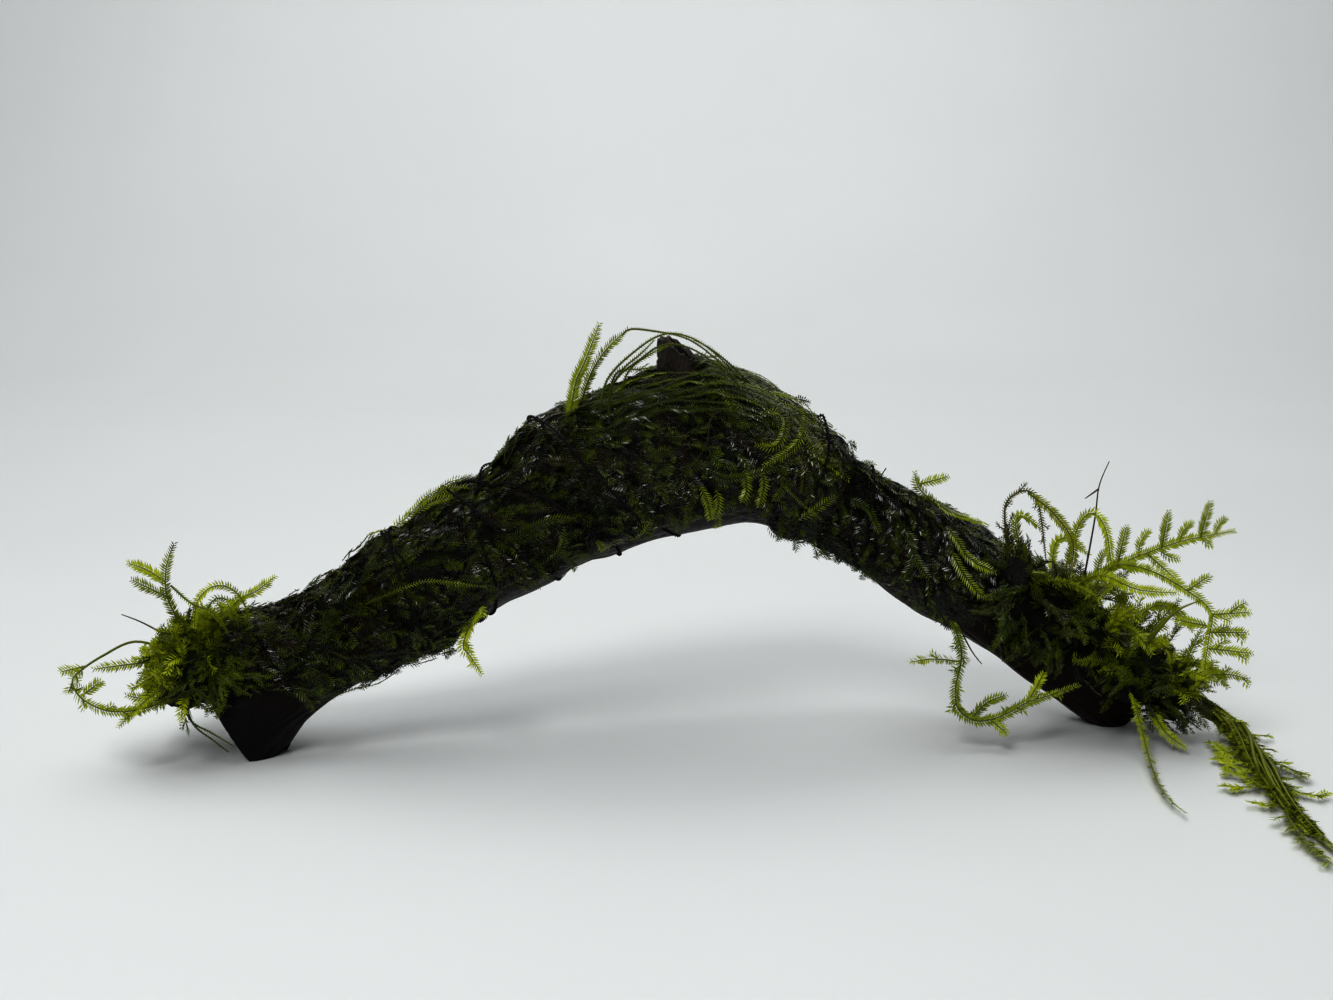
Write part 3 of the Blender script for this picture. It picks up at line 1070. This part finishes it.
def looseFronds(tuft, seed):
    lumps, slope, loose = tuft["lumps"], tuft["slope"], tuft["loose"]
    centre = sum((Vector(lump[:3]) for lump in lumps), Vector()) / len(lumps)
    rng = random.Random(seed)
    stems = []
    for _ in range(loose["count"]):
        lump = rng.choice(lumps)
        out = Vector((rng.gauss(0, 1), rng.gauss(0, 1), rng.gauss(0.2, 0.9))).normalized()
        heading = (out + Vector(loose["toward"])).normalized()
        shift = Vector([o * size * loose["start"] for o, size in zip(heading, lump[3:])])
        points = [Vector(lump[:3]) + shift]
        bend = Vector([rng.gauss(0, 0.22) for _ in range(3)]) + Vector((0, 0, -0.10))
        length = rng.uniform(*loose["reach"])
        for _ in range(4):
            points.append(points[-1] + heading * length / 4)
            heading = (heading + bend).normalized()
        if points[-1].z < loose["above"]:  # none hangs in the shade under the tuft
            continue
        away = points[-1] - centre
        tone = rng.uniform(*loose["tones"]) + slope[0] * min(away.x, 12.0) + slope[1] * away.z
        main = stem([tuple(point) for point in points],
                    facing=(rng.uniform(-0.6, 0.6), -1.0, rng.uniform(-0.4, 0.6)),
                    tone=min(max(tone, 0.0), 1.0), leaf=1.05, age=rng.choice((0, 0, 0, 0.2)))
        stems += [main, *sideShoots(main, rng, every=3.0, reach=(2.4, 5.0))]
    return stems


leftStems = frondStems(tuftLeft["fronds"], 5) + looseFronds(tuftLeft, 15)
rightStems = frondStems(tuftRight["fronds"], 9) + looseFronds(tuftRight, 19)
pieces = {}
for name, tuft, stems, density, seed in (("mossTuftLeft", tuftLeft, leftStems, 420000.0, 71),
                                         ("mossTuftRight", tuftRight, rightStems, 300000.0, 72)):
    middle = makeTuftMiddle(name + "Middle", tuft)
    shoots = coverWith(middle, featherShoots, seed, tuft["material"], Density=density, Small=0.4, Large=0.9,
                       Lean_low=tuft["lean"][0], Lean_high=tuft["lean"][1], Fan=1.2, Roll=0.9)
    fronds = growStems(name + "Fronds", stems, seed)
    print(name, len(shoots.data.polygons), "faces of shoots,", len(fronds.data.polygons), "of fronds")
    pieces[name] = joinAll(name, [middle, shoots, fronds])
    keepAbove(pieces[name])


# Fronds that leave the coats

def fromCoat(along, degrees, points):
    inside = surface(along, degrees, coat["lift"] + 0.5 * coatDepth(along, degrees)) / mm
    return (tuple(inside), *points)


coatFronds = {
    "mossMatLeft": {"sprig": (fromCoat(0.300, -112.0, ((-38.8, 9, 22), (-37.5, 7.5, 20), (-35.5, 7, 16.8))),
                              {"side": 0.4})},
    "mossMatCrown": {
        "upright": (fromCoat(0.430, -22.0, ((-18.8, 18, 67.5), (-17, 18, 71.5), (-14.5, 17, 78))),
                    {"leaf": 1.2, "tone": 0.86}),
        "second": (fromCoat(0.440, -6.0, ((-16.5, 23, 68), (-13.5, 22, 73), (-9.5, 21.5, 76.8))),
                   {"leaf": 1.0, "tone": 0.78, "age": 0.12}),
        "front": (fromCoat(0.452, -34.0, ((-13, 14.5, 68.5), (-7.5, 15, 74), (-3, 16.5, 76.4), (1, 17.5, 76),
                                          (5, 18, 73.8), (9.5, 19.5, 69.5), (12.5, 20.5, 66))),
                  {"leaf": 0.4, "tone": 0.6}),
        "back": (fromCoat(0.465, 12.0, ((-10.5, 27.5, 69), (-7.5, 28.5, 71.5), (-4.8, 30.5, 74))),
                 {"leaf": 0.45, "tone": 0.6}),
        "low": (fromCoat(0.460, -22.0, ((-11.5, 16, 69.5), (-8, 14.5, 70.3), (-4.5, 13.5, 70.8))),
                {"leaf": 0.6, "tone": 0.55}),
        "frontLow": (fromCoat(0.458, -40.0, ((-12, 13.5, 67.8), (-7, 14, 72.3), (-3.2, 15, 74.6),
                                             (1.2, 15.6, 74.2), (5.6, 16.4, 71.6), (9.8, 18, 68.2),
                                             (13.4, 19.5, 64.5))),
                     {"leaf": 0.35, "tone": 0.5}),
        "frontShort": (fromCoat(0.470, -30.0, ((-9.5, 15.5, 69.5), (-5.2, 16, 73.0), (-1.5, 17.2, 74.6))),
                       {"leaf": 0.5, "tone": 0.6}),
        "overRight": (fromCoat(0.545, -24.0, ((11.5, 18, 68), (8.2, 17.6, 71.5), (4.6, 17.6, 74.2),
                                              (2.4, 18, 75.2))), {"leaf": 0.4, "tone": 0.5}),
        "combedHigh": (((-10.5, 21.7, 75.8), (-9, 21.4, 76.9), (-5, 21, 76.6), (0.5, 19.6, 75.6),
                        (4.5, 19, 73.3), (8.5, 20, 69.5), (10, 22, 66.8)), {"leaf": 0.35, "age": 0.5}),
    }, "mossMatRight": {
        "loop": (fromCoat(0.790, -128.0, ((51.9, 20, 18.3), (51.2, 16, 15.5), (50.1, 13.7, 12),
                                          (50.7, 13, 8.3), (54.1, 13, 6.2), (58.8, 13.7, 7),
                                          (63.5, 14.5, 9.3),
                                          (68.4, 16, 10.4), (73.1, 17, 11.9))), {"side": 0.25, "tone": 0.66}),
        "loopLeft": (((51.5, 17, 16.3), (46, 14, 17.6), (41.4, 11, 17.8)),
                     {"side": 0.2, "tone": 0.9, "facing": (0.1, -0.7, 0.9)}),
        "loopInner": (((53, 13, 6.6), (56, 14.5, 9.2), (59.5, 15, 10.5)), {"tone": 0.62}),
        "loopLow": (((56.5, 13.3, 6.4), (59.4, 12, 4.2)), {}),
        "loopRight": (((63.5, 14.5, 9.3), (66.9, 18, 13.7)), {}),
        "spur": (fromCoat(0.795, -128.0, ((54.0, 21.5, 17.4), (55.7, 19, 15.3))), {"leaf": 0.0, "age": 1.0}),
        "topSprig": (fromCoat(0.755, -14.0, ((44.3, 24.5, 47), (43.2, 24, 50.2))), {}),
        "topSprigSide": (((44, 24.4, 48), (49.0, 22.5, 49.8)), {}),
    },
}
for seed, (name, fronds) in enumerate(coatFronds.items()):
    grown = growStems(name + "Fronds", frondStems(fronds, 80 + seed), 80 + seed)
    pieces[name] = joinAll(name, [*coatPieces[name], grown])
    keepAbove(pieces[name])


# The trail of long stems on the surface

trail = {
    "leafyShare": 0.45, "seed": 44,
    "line": ((89, 21, 11.5), (94.5, 22.5, 8.4), (99.5, 24, 5.2), (102.8, 22, 3.0), (103.3, 13, 2.1),
             (102.6, 4, 2.0), (101.3, -10, 1.8), (100.7, -20, 1.6), (101, -30, 1.3), (102.2, -46.5, 0.95)),
    "strands": ((0.68, ((99.2, -24, 1.1), (98.4, -34, 1.1), (98.9, -46, 1.1))),
                (0.36, ((106.3, 4, 1.1), (107.8, -0.5, 1.1), (108.6, -5, 1.1))),
                (0.50, ((104.4, -11, 1.1), (106.6, -13.3, 1.1), (109.2, -13.6, 1.1))),
                (0.26, ((106.6, 21, 1.2), (109.4, 20, 1.2))),
                (0.32, ((100.5, 8, 1.2), (98.6, 12.5, 1.1), (98.6, 16.5, 1.1))),
                (0.42, ((99.4, 0, 1.1), (97.4, 3.5, 1.1), (96.6, 7, 1.1))),
                (0.50, ((98.0, -8.6, 1.1), (95, -9, 1.1), (92.4, -8.4, 1.1))),
                (0.60, ((98.2, -18.6, 1.1), (95.8, -17.0, 1.1))),
                (0.38, ((101.2, 4, 1.2), (98.6, 6, 1.1), (97.2, 9.5, 1.1))),
                (0.46, ((100.2, -4.5, 1.1), (97.6, -2.6, 1.1), (95.6, 0.5, 1.1)))),
    "radius": 2.2, "count": 26,
}


def makeTrail():
    rng = random.Random(trail["seed"])
    rows = smoothPath(trail["line"], 1.2)
    stems = []
    for k in range(trail["count"]):
        around, spread = rng.uniform(0, 2 * math.pi), rng.uniform(0.15, 1.0)
        start, stop = rng.uniform(0, 0.25), rng.uniform(0.72, 1.0)
        first, last = int(start * (len(rows) - 1)), int(stop * (len(rows) - 1))
        line = []
        for i in range(first, last + 1, 4):
            share = i / (len(rows) - 1)
            reach = trail["radius"] * (1.45 - 1.2 * share) * spread
            turn = around + share * 5.0 + 0.8 * noise.noise(Vector((share * 5, k, 0)))
            x, y, z = rows[i]
            line.append((x + reach * math.cos(turn), y + 0.5 * reach * math.sin(turn + 1),
                         max(z + reach * math.sin(turn) * 0.9, 0.5)))
        if len(line) > 2:
            leafy = rng.random() < trail["leafyShare"]
            main = stem(line, facing=(0, 0.2, 1), tone=rng.uniform(0.70, 1.0), leaf=1.1 if leafy else 0.45,
                        thick=0.24 if leafy else 0.40, tipThick=0.16, age=rng.choice((0, 0, 0.1)))
            stems.append(main)
            if leafy:
                stems += sideShoots(main, rng, every=5.0, reach=(2.5, 5.0))
    for share, points in trail["strands"]:
        root = tuple(rows[round(share * (len(rows) - 1))])
        main = stem((root, *points), facing=(0, 0, 1), tone=rng.uniform(0.75, 1.0), leaf=1.2)
        stems += [main, *sideShoots(main, rng, every=1.7, reach=(2.4, 4.6))]
    grown = growStems("mossTrail", stems, 45)
    keepAbove(grown)
    return grown


pieces["mossTrail"] = makeTrail()
print("mossTrail", len(pieces["mossTrail"].data.polygons), "faces")


# The tying thread: two black plies twisted round each other

thread = {
    "clear": 1.15 * mm, "bare": 0.22 * mm, "edge": (1.0, 22.0), "sides": 45, "start": -12.0,
    "route": ((0.00, 0.350), (0.12, 0.374), (0.27, 0.412), (0.47, 0.425), (0.75, 0.388), (1.00, 0.345),
              (1.30, 0.306),
              (1.60, 0.278), (2.00, 0.258), (2.50, 0.232), (3.00, 0.252), (4.00, 0.325), (5.00, 0.411),
              (5.30, 0.460),
              (6.00, 0.600), (7.08, 0.664), (7.31, 0.688), (8.00, 0.700), (8.22, 0.736), (8.36, 0.775)),
    "tails": (((-1.5, -3.5, -1.2), (-1.0, -4.8, -3.8)), ((-2.8, -1.8, 0.8), (-4.6, -2.6, 0.4))),
}


def threadLift(along, degrees):
    front, back = coverEdges(along)
    turn = (degrees + 180) % 360 - 180
    share = smoothStep(min(turn + front, back - turn), *thread["edge"])
    share *= 1 - smoothStep(ridgeShare(along, degrees), 0.1, 0.6)
    return (coatDepth(along, degrees) + thread["clear"]) * share + thread["bare"] * (1 - share)


def threadLine():
    route = np.array([(turn, along * 100, 0.0) for turn, along in thread["route"]])
    rows = smoothPath(route, 0.02)
    steps = thread["sides"]
    points = []
    for i in range(round(thread["route"][-1][0] * steps) + 1):
        turn = min(i / steps, thread["route"][-1][0])
        along = float(rows[np.argmin(np.abs(rows[:, 0] - turn))][1]) / 100
        degrees = thread["start"] - 360 * turn
        points.append(tuple(surface(along, degrees, threadLift(along, degrees)) / mm))
    return points


def makeThreadTree():
    tree, given, result = newTree(
        "twistedThread", "GeometryNodeTree",
        {"Geometry": "Geometry", "Ply": 0.16 * mm, "Apart": 0.14 * mm, "Twist": 1.9 * mm, "Step": 0.34 * mm,
         "Sides": 5, "Material": "Material"}, {"Geometry": "Geometry"})
    add = partial(addNode, tree)
    line = add("GeometryNodeMeshToCurve", {"Mesh": given["Geometry"]})
    fine = add("GeometryNodeResampleCurve", {"Curve": line, "Length": given["Step"]}, mode="LENGTH")
    along = add("GeometryNodeSplineParameter").outputs["Length"]
    angle = maths(tree, "MULTIPLY", maths(tree, "DIVIDE", along, given["Twist"]), 2 * math.pi)
    turned = add("GeometryNodeSetCurveTilt", {"Curve": fine, "Tilt": angle})
    plies = add("GeometryNodeJoinGeometry")
    for side in (-1.0, 1.0):
        circle = add("GeometryNodeCurvePrimitiveCircle",
                     {"Resolution": given["Sides"], "Radius": given["Ply"]})
        place = add("ShaderNodeCombineXYZ", {"X": maths(tree, "MULTIPLY", given["Apart"], side)})
        moved = add("GeometryNodeTransform", {"Geometry": circle, "Translation": place})
        ply = add("GeometryNodeCurveToMesh", {"Curve": turned, "Profile Curve": moved, "Scale": 1.0,
                                              "Fill Caps": True})
        tree.links.new(ply.outputs[0], plies.inputs[0])
    return endTree(tree, plies, given, result)


def makeThread():
    main = threadLine()
    lines = [main]
    start = np.array(main[0])
    lines += [[tuple(start), *[tuple(start + np.array(step)) for step in tail]] for tail in thread["tails"]]
    knot = []  # an overhand knot: a small trefoil line round the start
    for i in range(22):
        t = 2 * math.pi * i / 21
        knot.append(tuple(start + 0.3 * np.array((math.sin(t) + 2 * math.sin(2 * t), math.sin(3 * t) * 1.1,
                                                  math.cos(t) - 2 * math.cos(2 * t))) * 0.85))
    lines.append(knot)
    verts, edges = [], []
    for line in lines:
        rows = smoothPath(line, 0.5)
        first = len(verts)
        verts += [tuple(v * mm for v in row) for row in rows]
        edges += [(first + i, first + i + 1) for i in range(len(rows) - 1)]
    made = runTree(linked("tyingThread", meshFrom("tyingThread", verts, [], edges)), makeThreadTree(),
                   Material=threadMaterial)
    made.data.shade_smooth()
    return made


pieces["tyingThread"] = makeThread()
print("tyingThread", len(pieces["tyingThread"].data.polygons), "faces")

slots = {
    "mossMatLeft": ("moss_mat_left", "moss_coat"), "mossMatCrown": ("moss_mat_crown", "moss_coat"),
    "mossMatRight": ("moss_mat_right", "moss_coat"), "mossTuftLeft": ("moss_tuft_left", "moss_frond"),
    "mossTuftRight": ("moss_tuft_right", "moss_frond"), "mossTrail": ("moss_trail", "moss_frond"),
    "tyingThread": ("tying_thread", "cotton_thread"),
}
for name, (node, slot) in slots.items():
    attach(pieces[name], "root")
    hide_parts(node)

for home in (combedShoots, featherShoots):
    for obj in list(home.objects):
        bpy.data.objects.remove(obj, do_unlink=True)
    bpy.data.collections.remove(home)
for obj in (wideLeaves, narrowLeaves):
    bpy.data.objects.remove(obj, do_unlink=True)


# Floor, light and camera

room = {
    "floor": ((0.62, 0.635, 0.63), (0.66, 0.675, 0.67)),
    # place, target, width in metres, power in watts
    "lights": {"softTop": ((-0.04, -0.02, 0.62), (0, 0.02, 0.02), 0.55, 2.0),
               "frontKey": ((-0.24, -0.60, 0.62), (0, 0.03, 0.02), 0.30, 4.6),
               "wallGlow": ((0.0, 0.80, 0.98), (0, 1.10, 0.28), 1.2, 9.5)},
    "air": (0.86, 0.92, 1.0, 1.0), "airStrength": 0.13,
    "gamma": 0.74,  # deep blacks, as in the photo
    "cameraPlace": (-0.0025, -0.321, 0.106), "cameraTilt": 80, "lens": 36 * 1900 / 1333,
}


def makeStage():
    material, tree, shader = newMaterial("paleFloor", Roughness=0.6)
    place = tree.nodes.new("ShaderNodeTexCoord").outputs["Object"]
    cloud = addNode(tree, "ShaderNodeTexNoise", {"Vector": place, "Scale": 6.0, "Detail": 2.0}).outputs["Fac"]
    tree.links.new(mixColour(tree, cloud, *room["floor"]), shader.inputs["Base Color"])
    verts, width, steps = [], 3.0, 24
    profile = [(-2.0, 0.0), (0.6, 0.0)]
    for i in range(1, steps + 1):
        bend = math.pi / 2 * i / steps
        profile.append((0.6 + 0.5 * math.sin(bend), 0.5 - 0.5 * math.cos(bend)))
    profile += [(1.1, 2.2)]
    for y, z in profile:
        verts += [(-width, y, z), (width, y, z)]
    faces = [(2 * i, 2 * i + 1, 2 * i + 3, 2 * i + 2) for i in range(len(profile) - 1)]
    floor = linked("floor", meshFrom("floor", verts, faces), material)
    floor.data.shade_smooth()


def addLight(name, place, target, size, power):
    lamp = bpy.data.lights.new(name, "AREA")
    lamp.shape, lamp.size, lamp.energy = "DISK", size, power
    made = bpy.data.objects.new(name, lamp)
    made.location = place
    made.rotation_euler = (Vector(target) - Vector(place)).to_track_quat("-Z", "Y").to_euler()
    bpy.context.scene.collection.objects.link(made)


def makeCamera():
    camera = bpy.data.objects.new("camera", bpy.data.cameras.new("camera"))
    camera.location = room["cameraPlace"]
    camera.rotation_euler = (math.radians(room["cameraTilt"]), 0, 0)
    camera.data.lens = room["lens"]
    camera.data.sensor_width = 36.0
    camera.data.clip_start = 0.01
    bpy.context.scene.collection.objects.link(camera)
    bpy.context.scene.camera = camera


makeStage()
for name, values in room["lights"].items():
    addLight(name, *values)
world = bpy.data.worlds.new("softRoom")
bpy.context.scene.world = world
world.use_nodes = True
world.node_tree.nodes["Background"].inputs[0].default_value = room["air"]
world.node_tree.nodes["Background"].inputs[1].default_value = room["airStrength"]
bpy.context.scene.view_settings.view_transform = "Standard"
bpy.context.scene.view_settings.gamma = room["gamma"]
makeCamera()

for obj in bpy.data.objects:
    if obj.type == "MESH":
        print(obj.name, sum(len(face.vertices) - 2 for face in obj.data.polygons), "triangles")
